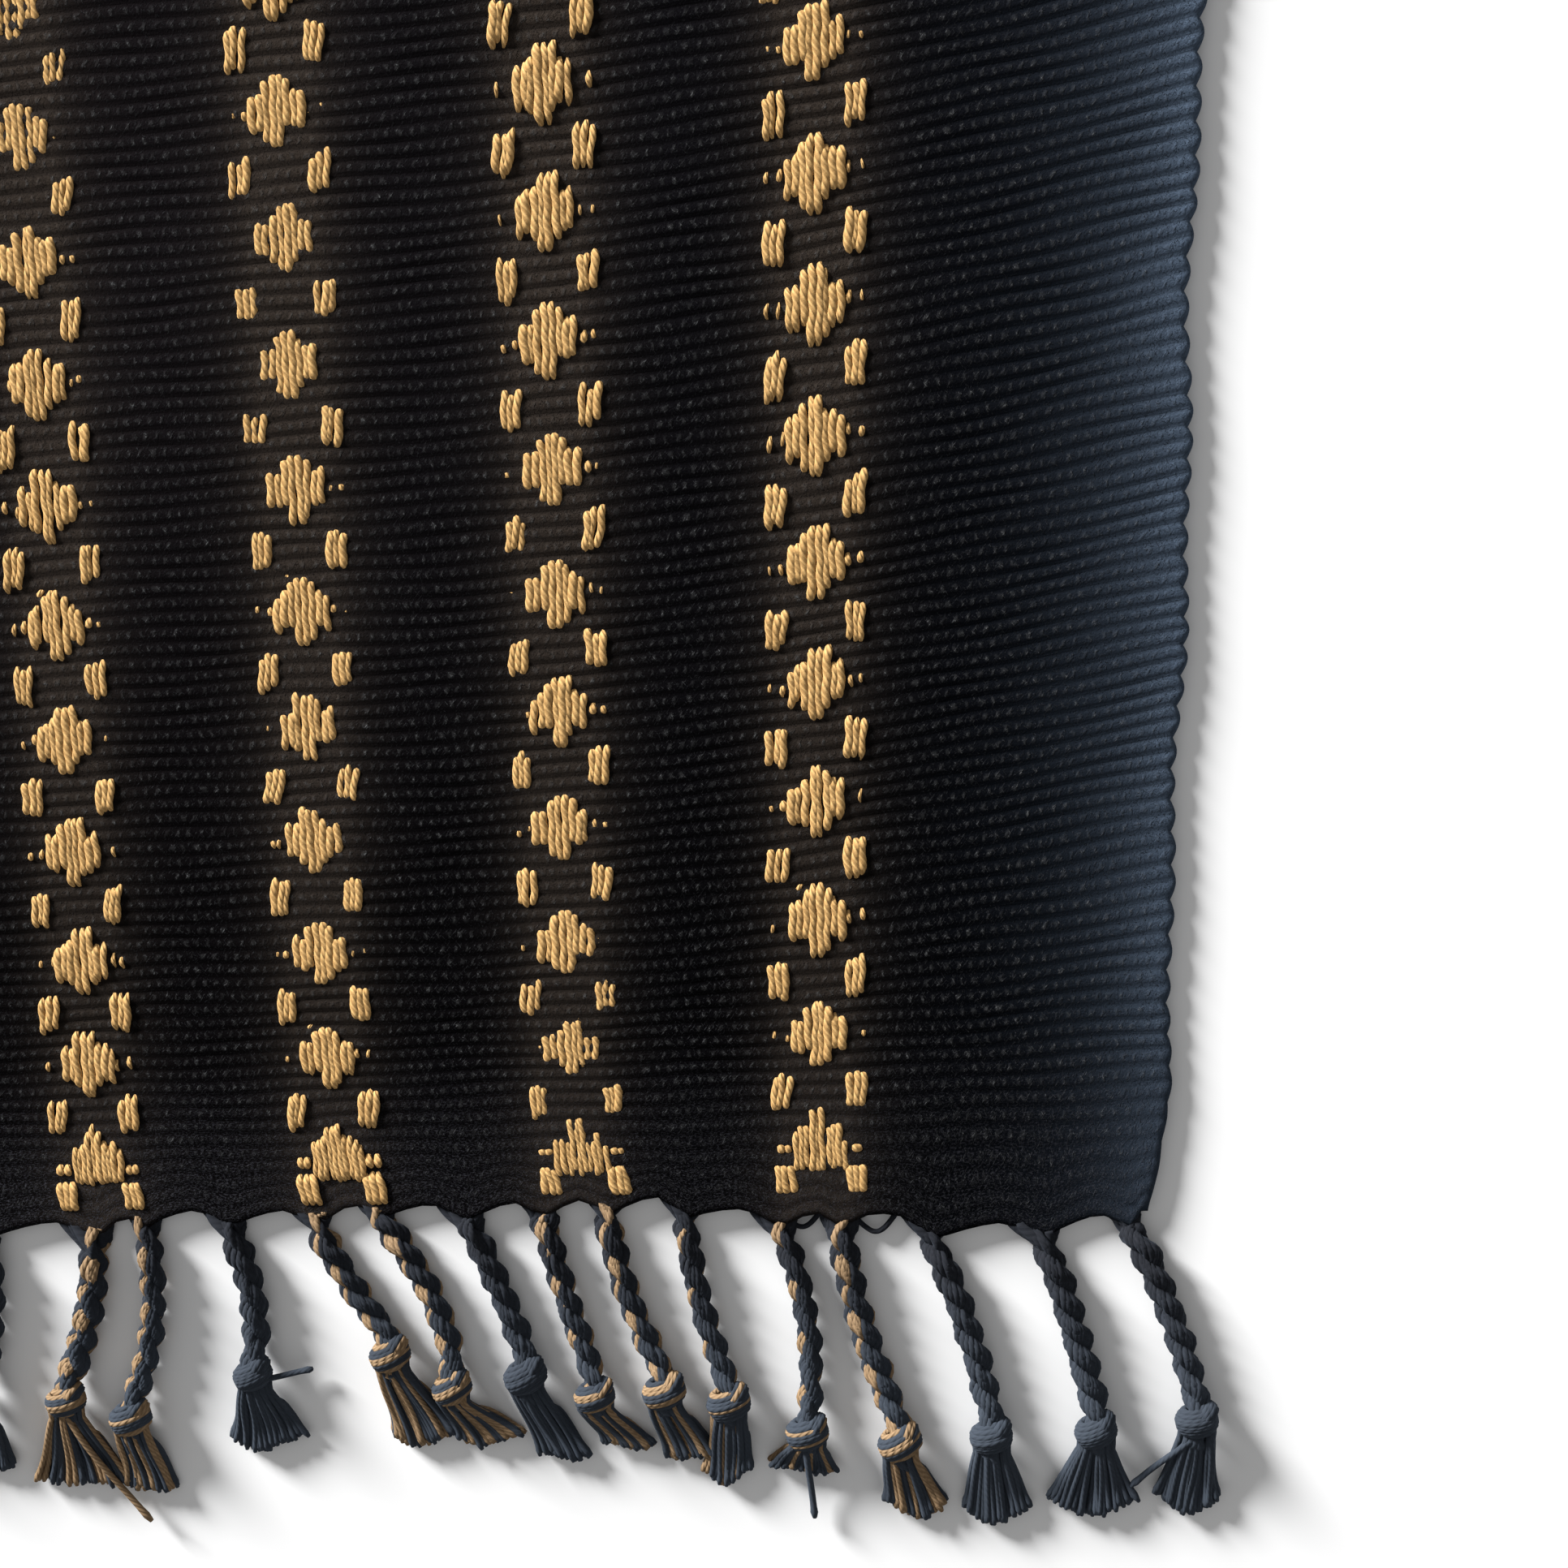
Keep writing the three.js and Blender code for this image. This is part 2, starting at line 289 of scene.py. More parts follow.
def new_mesh(name, points, polygons, vectors=None, materials=(), material_of=None):
    """A smooth-shaded mesh from points in millimetres and arrays of polygons, each array
    holding polygons of one size. vectors maps an attribute's name to a value per point."""
    mesh = bpy.data.meshes.new(name)
    loops = np.concatenate([p.ravel() for p in polygons]).astype(np.int32)
    sizes = np.concatenate([np.full(len(p), p.shape[1]) for p in polygons]).astype(np.int32)
    starts = np.concatenate([[0], np.cumsum(sizes)[:-1]]).astype(np.int32)
    mesh.vertices.add(len(points))
    mesh.vertices.foreach_set("co", (points * MM).astype(np.float32).ravel())
    mesh.loops.add(len(loops))
    mesh.loops.foreach_set("vertex_index", loops)
    mesh.polygons.add(len(sizes))
    mesh.polygons.foreach_set("loop_start", starts)
    mesh.polygons.foreach_set("use_smooth", np.ones(len(sizes), dtype=bool))
    for key, values in (vectors or {}).items():
        layer = mesh.attributes.new(key, "FLOAT_VECTOR", "POINT")
        layer.data.foreach_set("vector", values.astype(np.float32).ravel())
    for material in materials:
        mesh.materials.append(material)
    if material_of is not None:
        mesh.polygons.foreach_set("material_index", material_of.astype(np.int32))
    mesh.update(calc_edges=True)
    mesh.validate()
    thing = bpy.data.objects.new(name, mesh)
    bpy.context.scene.collection.objects.link(thing)
    return thing


def frames_along(paths):
    """Two unit vectors across each path at each of its points, turning as little as they
    can from point to point. paths has the shape (paths, points, 3)."""
    tangents = np.gradient(paths, axis=1)
    tangents /= np.linalg.norm(tangents, axis=2, keepdims=True)
    across = np.empty_like(paths)
    side = np.cross(tangents[:, 0], [0.0, 0.0, 1.0])
    for i in range(paths.shape[1]):
        tangent = tangents[:, i]
        side = side - tangent * (side * tangent).sum(1, keepdims=True)
        side = side / np.linalg.norm(side, axis=1, keepdims=True)
        across[:, i] = side
    return across, np.cross(across, tangents)


def tubes(paths, radii, sides, start=0, flatness=1.0):
    """Closed tubes round paths, as (points, quads, caps, yarn attribute)."""
    count, stations, _ = paths.shape
    across, up = frames_along(paths)
    up = up * flatness
    angle = 2 * math.pi * np.arange(sides) / sides
    ring = (
        np.cos(angle)[:, None] * across[:, :, None] + np.sin(angle)[:, None] * up[:, :, None]
    )
    points = paths[:, :, None] + radii[:, :, None, None] * ring
    tube, station, side = np.meshgrid(
        np.arange(count), np.arange(stations - 1), np.arange(sides), indexing="ij"
    )
    a = start + (tube * stations + station) * sides + side
    b = start + (tube * stations + station) * sides + (side + 1) % sides
    quads = np.stack([a, a + sides, b + sides, b], axis=-1).reshape(-1, 4)
    first = start + np.arange(count)[:, None] * stations * sides + np.arange(sides)
    last = first + (stations - 1) * sides
    caps = np.concatenate([first, last[:, ::-1]])
    steps = np.linalg.norm(np.diff(paths, axis=1), axis=2)
    along = np.concatenate([np.zeros((count, 1)), np.cumsum(steps, axis=1)], axis=1)
    along = along + np.arange(count)[:, None] * PLY_STAGGER
    yarn = np.empty(points.shape)
    yarn[..., 0] = along[:, :, None]
    yarn[..., 1] = np.cos(angle)
    yarn[..., 2] = np.sin(angle)
    return points.reshape(-1, 3), quads, caps, yarn.reshape(-1, 3)


def cloth_grid():
    """The u and v of the face's points, and how far round its rib each row is, from 0 to 1."""
    edge = np.array(EDGE_STEPS)
    inner = np.linspace(-HALF_WIDTH + EDGE_STRIP, HALF_WIDTH - EDGE_STRIP, CLOTH_COLUMNS)
    u = np.concatenate([-HALF_WIDTH + edge, inner, HALF_WIDTH - edge[::-1]])
    steps = np.arange(RIB_COUNT * RIB_SAMPLES + 1) / RIB_SAMPLES
    v = -HALF_LENGTH + HEM_EDGE + steps * RIB_PITCH
    v = np.concatenate([[-HALF_LENGTH], v, [HALF_LENGTH]])
    phase = np.concatenate([[0.0], steps % 1.0, [0.0]])
    return *np.meshgrid(u, v), phase


def cloth_height(uu, vv, phase):
    """Height of the face: round ribs of uneven depth, slow waves and rounded edges."""
    inward = HALF_WIDTH - np.abs(uu)
    from_hem = HALF_LENGTH - np.abs(vv)
    rib = np.sqrt(np.clip(1 - (2 * phase - 1) ** 2, 0, None))
    round_edge = np.clip(1 - (1 - np.clip(inward / EDGE_ROUNDING, 0, 1)) ** 2, 0, 1)
    depth = RIB_DEPTH * (0.55 + 0.45 * smoothstep(3, 18, from_hem))
    swell = 1 + 0.3 * np.sin(uu / 4.1 + 2.0 * np.sin(vv / 6.3)) * np.sin(vv / 3.1 + uu / 19.0)
    top = THICKNESS - depth * swell * (1 - rib)[:, None]
    wave = 0.18 * np.sin(uu / 23.0 + vv / 41.0) + 0.12 * np.sin(uu / 9.0 - vv / 17.0)
    top = top + wave * smoothstep(0, 12, inward)
    z = EDGE_HEIGHT + (top - EDGE_HEIGHT) * np.sqrt(round_edge)
    z[0] = z[-1] = EDGE_HEIGHT
    return z


def cloth_outline(uu, vv):
    """Where the scalloped selvedges, narrow corners and drawn hems bring each u and v."""
    inward = HALF_WIDTH - np.abs(uu)
    from_hem = HALF_LENGTH - np.abs(vv)
    scallop = np.abs(np.sin(math.pi * (vv + HALF_LENGTH) / (2 * RIB_PITCH)))
    shift = SELVEDGE_SCALLOP * (2 * scallop - 1) * (1 - smoothstep(0, SCALLOP_RUN, inward))
    shift = shift * smoothstep(0, 30, from_hem)
    swing = 0.5 * np.sin(vv / 13.0) + 0.35 * np.sin(vv / 5.3 + 1.0)
    narrow = 1 - 0.6 * smoothstep(6, 18, from_hem) - 0.4 * smoothstep(0, 7, from_hem)
    shift = shift + (swing - HEM_NARROWING * narrow) * (1 - smoothstep(0, SWING_RUN, inward))
    wobble = 0.2 * np.sin(uu / 5.1 + 1.7 * np.sin(vv / 4.7)) * smoothstep(0, 3, from_hem)
    across = uu + np.sign(uu) * shift
    drop = np.where(vv < 0, hem_drop(across), -hem_drop(-across))
    drop = drop * (1 - smoothstep(0, HEM_PULL_RUN, from_hem))
    return across, vv + wobble - drop


def ground_cloth(material):
    """The black cloth. Its flat back has points only round its outline: two for each row of
    the face, and the hems' own."""
    uu, vv, phase = cloth_grid()
    face = on_table(*cloth_outline(uu, vv), cloth_height(uu, vv, phase))
    rows, columns = uu.shape
    grid = np.arange(rows * columns).reshape(rows, columns)
    back = face[:, [0, -1]].copy()
    hems = face[[0, -1], 1:-1].copy()
    back[..., 2] = 0.0
    hems[..., 2] = 0.0
    left = rows * columns + 2 * np.arange(rows)
    right = left + 1
    near, far = right[-1] + 1 + np.arange(2 * (columns - 2)).reshape(2, -1)
    near_row = np.concatenate([left[:1], near, right[:1]])
    far_row = np.concatenate([left[-1:], far, right[-1:]])
    straight = np.flatnonzero(HALF_LENGTH - np.abs(vv[:, 0]) > HEM_PULL_RUN)
    first, last = straight[0], straight[-1]
    side = np.arange(first, last)
    top = np.stack([grid[:-1, :-1], grid[:-1, 1:], grid[1:, 1:], grid[1:, :-1]], axis=-1)
    under = np.stack([left[side], left[side + 1], right[side + 1], right[side]], axis=-1)
    near_under = np.concatenate([left[: first + 1], right[first::-1], near[::-1]])[None]
    far_under = np.concatenate([left[last:], far, right[: last - 1 : -1]])[None]
    west = np.stack([grid[:-1, 0], grid[1:, 0], left[1:], left[:-1]], axis=-1)
    east = np.stack([grid[1:, -1], grid[:-1, -1], right[:-1], right[1:]], axis=-1)
    south = np.stack([grid[0, :-1], near_row[:-1], near_row[1:], grid[0, 1:]], axis=-1)
    north = np.stack([grid[-1, :-1], grid[-1, 1:], far_row[1:], far_row[:-1]], axis=-1)
    weave = np.stack([uu, vv, np.zeros_like(uu)], axis=-1)
    weave = [weave, weave[:, [0, -1]], weave[[0, -1], 1:-1]]
    return new_mesh(
        "ground_cloth_weave",
        np.concatenate([part.reshape(-1, 3) for part in (face, back, hems)]),
        [top.reshape(-1, 4), under, near_under, far_under, west, east, south, north],
        {"weave": np.concatenate([part.reshape(-1, 3) for part in weave])},
        [material],
    )


def bar_floats(rib, rng):
    """Two bars of three strands. A float is (u from the band's centre line, rib of its
    middle, length in ribs, lean sideways in all, width)."""
    floats = []
    for side in (-1, 1):
        lean = rng.normal(0.5, 0.3)
        spread = rng.uniform(0.1, 0.4)
        for order, place in enumerate(BAR_PLACES):
            fan = spread * (order - 1) * side
            reach = BAR_LENGTH + rng.uniform(-0.25, 0.25)
            middle = rib + rng.normal(0, 0.1)
            floats.append((side * place, middle, reach, lean + fan, BAR_WIDTH))
    return floats


def dot_floats(rib, rng):
    """The short floats on both sides of a diamond, one or two on each."""
    floats = []
    for side in (-1, 1):
        floats.append((side * 6.95, rib + rng.normal(0, 0.1), 1.2, 0.0, rng.uniform(0.4, 0.85)))
        if rng.random() < 0.75:
            inner = side * rng.uniform(4.8, 5.6)
            floats.append((inner, rib + rng.normal(0, 0.1), 1.3, 0.0, rng.uniform(0.35, 0.95)))
    return floats


def motif_floats(rib, rng):
    """One whole diamond and the dots beside it."""
    wide = rng.choice([-1.5, 1.5])
    middles = [(-0.5, 0.0, 5.3), (0.5, 0.0, 5.3), (wide, rng.choice([0.0, 0.4]), 4.7)]
    middles += [(-wide, rng.choice([0.0, 0.5]), 3.8)]
    middles += [(s, rng.uniform(-0.2, 0.2), 3.1) for s in (-2.5, 2.5)]
    middles += [(s, rng.uniform(-0.2, 0.2), 3.1) for s in (-3.5, 3.5)]
    floats = [
        (s * STRAND_PITCH, rib + shift, reach, rng.normal(0, 0.25), 1.0)
        for s, shift, reach in middles
    ]
    if rng.random() < 0.2:
        floats.append((-2.6, rib + 2.3, 0.9, 2.0, 0.8))
    return floats + dot_floats(rib, rng)


def hem_motif_floats(rib, inward, rise, rng):
    """The half diamond next to a hem, with fat dots beside it and short bars beyond it.
    inward is 1 at the near hem and -1 at the far one. rise moves the dots and bars."""
    floats = []
    dots = rib + (rise - 0.1) * inward
    bars = rib + (rise - 2.1) * inward
    for s in np.arange(-4.5, 5.0):
        reach = HALF_MOTIF_LENGTHS.get(float(s), 3.5 if abs(s) < 4 else 3.1)
        reach = reach + rng.uniform(-0.3, 0.3)
        middle = rib + inward * (reach / 2 - 1.4 + rng.uniform(-0.2, 0.2))
        floats.append((s * HEM_STRAND_PITCH, middle, reach, rng.normal(0, 0.12), 0.82))
    for side in (-1, 1):
        for place in (5.3, 6.4):
            floats.append((side * place, dots, 1.3, 0.0, 1.05))
        for place in (4.6, 5.7, 6.7):
            lean = rng.normal(-0.5, 0.2) * inward
            floats.append((side * place, bars, 2.7, lean, 1.05))
    return floats


def band_floats(rise, rng):
    """All the floats of one band, from hem to hem."""
    last_rib = RIB_COUNT - 1 - FIRST_DIAMOND_RIB
    floats = hem_motif_floats(FIRST_DIAMOND_RIB - RIBS_PER_MOTIF, 1, rise, rng)
    floats += bar_floats(FIRST_DIAMOND_RIB - RIBS_PER_MOTIF / 2, rng)
    for rib in range(FIRST_DIAMOND_RIB, last_rib + 1, RIBS_PER_MOTIF):
        floats += motif_floats(rib, rng)
        floats += bar_floats(rib + RIBS_PER_MOTIF / 2, rng)
    floats += hem_motif_floats(last_rib + RIBS_PER_MOTIF, -1, 0.0, rng)
    return np.array(floats)


def float_paths(floats, centre, drift, stations, rng):
    """Paths and radii of the floats that share a number of stations."""
    count = len(floats)
    t = np.linspace(0, 1, stations)[None]
    length = floats[:, 2:3] * RIB_PITCH
    v = rib_line(floats[:, 1:2]) + (t - 0.5) * length
    centre = centre + drift * np.exp(-(v + HALF_LENGTH) / DRIFT_RUN)
    wave = 0.13 * np.sin(v / 0.7 + rng.uniform(0, 2 * math.pi, (count, 1)))
    bend = rng.normal(0, 0.14, (count, 1)) * np.cos(math.pi * (t - 0.5))
    u = centre + floats[:, :1] + floats[:, 3:4] * (t - 0.5) + bend + wave
    u = u + rng.normal(0, 0.06, (count, 1))
    to_end = np.minimum(t, 1 - t) * length
    risen = smoothstep(-0.3, 1.6, to_end)
    height = rng.uniform(0.0, 0.1, (count, 1))
    z = THICKNESS - FLOAT_SINK + (FLOAT_CLIMB + height) * risen
    radius = STRAND_RADIUS * floats[:, 4:5] * rng.uniform(0.85, 1.15, (count, 1))
    return on_table(u, v, z), radius * (0.3 + 0.7 * risen)


def pattern_band(number, material):
    """One band, counted from the left, as one tube of yarn for each of its floats."""
    rng = np.random.default_rng(100 + number)
    centre = (number - (BAND_COUNT + 1) / 2) * BAND_PITCH
    floats = band_floats(HEM_RISES[number - 1], rng)
    parts, start = [], 0
    for low, high, stations in FLOAT_STATIONS:
        chosen = floats[(floats[:, 2] >= low) & (floats[:, 2] < high)]
        paths, radii = float_paths(chosen, centre, BAND_DRIFTS[number - 1], stations, rng)
        part = tubes(paths, radii, STRAND_SIDES, start, STRAND_FLATNESS)
        start += len(part[0])
        parts.append(part)
    points, quads, caps, yarn = (np.concatenate(p) for p in zip(*parts))
    return new_mesh(
        f"pattern_band_{number}_floats", points, [quads, caps], {"yarn": yarn}, [material]
    )


def cord_axis(row):
    """The line of one cord from inside the hem to the tips of its tassel, with the station
    where the rope ends and the station where the tassel starts."""
    root, knot, knot_out, tip, tip_out, bow = row[:6]
    knot_at = np.array([knot, near_hem(knot) - knot_out])
    tip_at = np.array([tip, near_hem(tip) - tip_out])
    knot_in = knot_at + [0, KNOT_HALF]
    knot_end = knot_at - [0, KNOT_HALF]
    t = np.linspace(0, 1, ROPE_STATIONS) ** 1.15
    start = np.array([root, near_hem(root) - hem_drop(root) + ROOT_INSIDE])
    rope = start + (knot_in - start) * t[:, None]
    rope[:, 0] += 4 * bow * t * (1 - t)
    z = ROOT_HEIGHT + (CORD_HEIGHT - ROOT_HEIGHT) * smoothstep(0, 0.2, t)
    z = z + (KNOT_HEIGHT - CORD_HEIGHT) * smoothstep(0.85, 1, t)
    rope = np.concatenate([rope, z[:, None]], axis=1)
    t = np.linspace(0, 1, INSIDE_STATIONS + 1)[1:, None]
    inside = knot_in + (knot_end - knot_in) * t
    inside = np.concatenate([inside, np.full_like(t, KNOT_HEIGHT)], axis=1)
    t = np.linspace(0, 1, TASSEL_STATIONS + 1)[1:]
    line = knot_end + (tip_at - knot_end) * t[:, None]
    z = KNOT_HEIGHT + (TASSEL_HEIGHT - KNOT_HEIGHT) * smoothstep(0, 0.8, t)
    tail = np.concatenate([line, z[:, None]], axis=1)
    return np.concatenate([rope, inside, tail]), len(rope), len(rope) + len(inside)


def knot_bands(row, rng):
    """The yarns that go round a cord in its knot, as paths, radii and whether each is tan."""
    centre = np.array([row[1], near_hem(row[1]) - row[2]])
    size = rng.uniform(0.94, 1.08)
    lean = rng.normal(0, 0.12)
    open_at = -0.5 * math.pi
    turn = np.linspace(
        open_at + KNOT_TUCK, open_at + 2 * math.pi - KNOT_TUCK, KNOT_STATIONS
    )
    tucked = 1 - 0.3 * np.cos((turn - open_at) / 2) ** 8
    paths, tan = [], []
    for half, radius, crown, tilt, (aside, above), yarns in KNOT_BANDS:
        place = np.linspace(-half, half, yarns)
        place = place + rng.normal(0, 0.04, yarns)
        out = radius + crown * np.sqrt(1 - (place / (half * 1.04)) ** 2)
        reach = size * out[:, None] * tucked
        run = reach * np.cos(turn)
        across = size * place[:, None]
        angle = tilt + lean
        x = centre[0] + aside + run * math.cos(angle) - across * math.sin(angle)
        y = centre[1] + above + run * math.sin(angle) + across * math.cos(angle)
        z = KNOT_HEIGHT + KNOT_DEPTH * reach * np.sin(turn)
        paths.append(np.stack([x, y, z], axis=-1))
        stripes = np.sin(np.arange(yarns) * KNOT_STRIPES + rng.uniform(0, 6))
        tan.append(stripes > 1 - row[7] / HALF_TAN)
    paths = np.concatenate(paths)
    radii = KNOT_YARN_RADIUS * rng.uniform(0.92, 1.12, (len(paths), 1))
    radii = radii * np.ones(KNOT_STATIONS)
    return paths, radii, np.concatenate(tan)


def rope_paths(axis, along, squeeze, rng):
    """The yarns of two strands twisted round a cord's axis. The first of each is its core."""
    across, up = (a[0] for a in frames_along(axis[None]))
    phase = rng.uniform(0, 2 * math.pi)
    yarns = 2 * YARNS_PER_STRAND
    strand = np.arange(yarns)[:, None] // YARNS_PER_STRAND
    place = np.arange(yarns)[:, None] % YARNS_PER_STRAND
    strand_angle = phase + 2 * math.pi * along / CORD_TURN + math.pi * strand
    yarn_angle = 2 * math.pi * (place / (YARNS_PER_STRAND - 1) - along / STRAND_TURN)
    yarn_angle = yarn_angle + 0.5 * math.pi - phase - math.pi * strand
    outer = np.where(place == 0, 0.0, YARN_OFFSET)
    off_across = STRAND_OFFSET * np.cos(strand_angle) + outer * np.cos(yarn_angle)
    off_up = STRAND_OFFSET * np.sin(strand_angle) + outer * np.sin(yarn_angle)
    offset = off_across[..., None] * across + off_up[..., None] * up
    return axis + offset * squeeze[:, None]


def gather_at_hem(paths, axis, along, index, tan):
    """Spreads the starts of the yarns over the stretch of hem that the cord gathers. Tan
    ones come from the band, close together and on top."""
    root = CORDS[index][0]
    left, right = arch_tops()[index : index + 2]
    right = min(right, root + GATHER_RIGHT)
    yarns = len(paths)
    order = np.argsort(np.argsort(paths[:, np.searchsorted(along, GATHER_ORDER), 0]))
    hem_x = left + (right - left) * (order + 0.5) / yarns
    tan_x = root + TAN_START_WIDTH * ((order + 0.5) / yarns - 0.5)
    hem_x = np.where(tan, tan_x, hem_x)
    hem_y = near_hem(hem_x) - hem_drop(hem_x) + ROOT_INSIDE * np.where(tan, TAN_INSIDE, 1.0)
    start_z = np.where(tan, TAN_START_HEIGHT, START_HEIGHT)
    start = np.stack([hem_x, hem_y, start_z], axis=1)
    aside = hem_x - root
    run = np.where(aside < 0, 2.0 - 1.0 * aside, 1.5 + 0.3 * aside)
    spread = np.clip(1 - along[None] / run[:, None], 0, 1) ** 1.7
    fall = axis - axis[0]
    fall[:, 0] *= 0.2
    return paths + (start[:, None] + fall[None] - paths) * spread[..., None]


def tassel_fan(count, tail, width, rng):
    """How far each yarn of a tassel lies from the cord's line at each station, and its
    place across the tassel from -0.5 to 0.5. The last yarns lie on top."""
    share = (rng.permutation(count) + 0.5) / count - 0.5
    clump = (np.round(share * TASSEL_CLUMPS + 0.3) - 0.3) / TASSEL_CLUMPS
    lie = share[:, None] + 0.2 * (clump - share)[:, None] * tail[None] ** 2
    spread = NECK_WIDTH + (width - 0.8 - NECK_WIDTH) * tail**0.9
    flare = 0.9 * np.sign(share)[:, None] * (2 * share[:, None]) ** 4 * tail[None] ** 4
    curl = rng.normal(0, 0.14, (count, 1)) * np.sin(4.0 * tail)[None]
    reach = 0.8 * np.sin(5.0 * clump + rng.uniform(0, 6)) + rng.uniform(-0.5, 0.3, count)
    reach = reach + 0.6 - 7.0 * share**2
    layer = np.linspace(-1.1, 1.0, count)
    height = layer[:, None] * (1 - 0.3 * tail)[None]
    aside = lie * spread[None] + flare + curl
    return np.stack([aside, -reach[:, None] * tail[None], height], axis=-1), share


def stray_path(path, row, end):
    """A yarn's tail, bent away from its tassel to end to the side of the knot."""
    target = np.array([row[1] + end[0], near_hem(row[1]) - end[1]])
    t = np.linspace(0, 1, len(path))[:, None]
    start = path[0, :2]
    bend = (start + target) / 2 - [0, end[2]]
    bent = start * (1 - t) ** 2 + 2 * bend * t * (1 - t) + target * t**2
    return np.concatenate([bent, path[:, 2:]], axis=1)


def cord_girth(girth, along, rope_end):
    """Thickness of a cord at each of its stations, swollen at the root and thin in the knot."""
    in_knot = smoothstep(rope_end - SQUEEZE_STATIONS, rope_end, np.arange(len(along)))
    thickness = girth - (girth - KNOT_SQUEEZE) * in_knot
    return thickness + ROOT_SWELL * (1 - smoothstep(0, ROOT_SWELL_RUN, along))


def rope_colours(tan_count):
    """Which yarns of the two strands are the core and which are tan."""
    yarn = np.arange(2 * YARNS_PER_STRAND)
    place = yarn % YARNS_PER_STRAND
    first_tan = math.ceil(TAN_IN_FIRST * tan_count)
    tan = place <= np.where(yarn < YARNS_PER_STRAND, first_tan, tan_count - first_tan)
    return place == 0, tan & (place > 0)


def cord_yarns(index, rng):
    """Groups of yarns as paths, radii and whether each is tan: those of the whole cord,
    those that only its tassel shows and those round its knot."""
    row = CORDS[index]
    width, tan_count, girth = row[6:9]
    axis, rope_end, tail_start = cord_axis(row)
    steps = np.linalg.norm(np.diff(axis, axis=0), axis=1)
    along = np.concatenate([[0], np.cumsum(steps)])
    core, tan = rope_colours(tan_count)
    yarns = len(tan)
    paths = rope_paths(axis, along, cord_girth(girth, along, rope_end), rng)
    paths = gather_at_hem(paths, axis, along, index, tan)

    station = np.arange(len(axis))
    tail = np.clip((station - tail_start) / (len(axis) - 1 - tail_start), 0, 1)
    loose = smoothstep(-0.1, 0.35, tail)[:, None]
    fan, share = tassel_fan(yarns + TASSEL_FILLERS, tail, width, rng)
    fan = axis + fan
    stripes = np.sin(TAN_STRIPES * share[yarns:] + rng.uniform(0, 6))
    filler_tan = stripes > 1 - tan_count / HALF_TAN
    paths = paths * (1 - loose) + fan[:yarns] * loose
    radius = girth * np.where(core, CORE_RADIUS, YARN_RADIUS)[:, None]
    loose_radius = np.where(tan, TAN_TASSEL_RADIUS, TASSEL_YARN_RADIUS)[:, None]
    radius = radius + (loose_radius - radius) * loose[:, 0] * np.ones((yarns, 1))

    fillers = fan[yarns:, tail_start - FILLER_LEAD :]
    filler_radius = np.where(filler_tan, TAN_TASSEL_RADIUS, TASSEL_YARN_RADIUS)[:, None]
    filler_radius = filler_radius * np.ones(fillers.shape[:2])
    if index + 1 in STRAYS:
        fillers[-1] = stray_path(fillers[-1], row, STRAYS[index + 1])
        filler_radius[-1] = STRAY_RADIUS
    for thick in (radius, filler_radius):
        thick[:, -len(TIP_SHAPE) :] *= TIP_SHAPE
    groups = [(paths, radius, tan), (fillers, filler_radius, filler_tan), knot_bands(row, rng)]
    for group, thick, _ in groups:
        group[..., 2] = np.maximum(group[..., 2], thick + TABLE_GAP)
    return groups


def hem_loop(x_from, x_to, depth):
    """A yarn that hangs in a loop below the near hem."""
    t = np.linspace(0, 1, LOOP_STATIONS)
    x = x_from + (x_to - x_from) * t
    hang = (depth + LOOP_INSIDE) * np.sin(math.pi * t)
    y = near_hem(x) - hem_drop(x) + LOOP_INSIDE - hang
    path = np.stack([x, y, np.full_like(t, ROOT_HEIGHT)], axis=1)[None]
    return path, np.full((1, LOOP_STATIONS), LOOP_RADIUS), np.array([False])


def fringe_cord(end, index, materials):
    """One cord with its knot and tassel, and the name of its node. materials are the black
    and the tan one. A cord of the far end is one of the near end turned half round."""
    rng = np.random.default_rng((7 if end == "near" else 8) * 1000 + index)
    groups = cord_yarns(index, rng)
    if end == "near" and index + 1 in HEM_LOOPS:
        groups.append(hem_loop(*HEM_LOOPS[index + 1]))
    points, polygons, yarns, material_of, start = [], [], [], [], 0
    for paths, radii, tan in groups:
        if end == "far":
            paths = paths * [-1, -1, 1]
        part = tubes(paths, radii, YARN_SIDES, start)
        start += len(part[0])
        points.append(part[0])
        polygons += part[1:3]
        yarns.append(part[3])
        material_of += [np.repeat(tan, (paths.shape[1] - 1) * YARN_SIDES), tan, tan]
    node = f"fringe_cord_{end}_{index + 1:02d}"
    thing = new_mesh(
        node + "_yarns",
        np.concatenate(points),
        polygons,
        {"yarn": np.concatenate(yarns)},
        materials,
        np.concatenate(material_of),
    )
    return thing, node


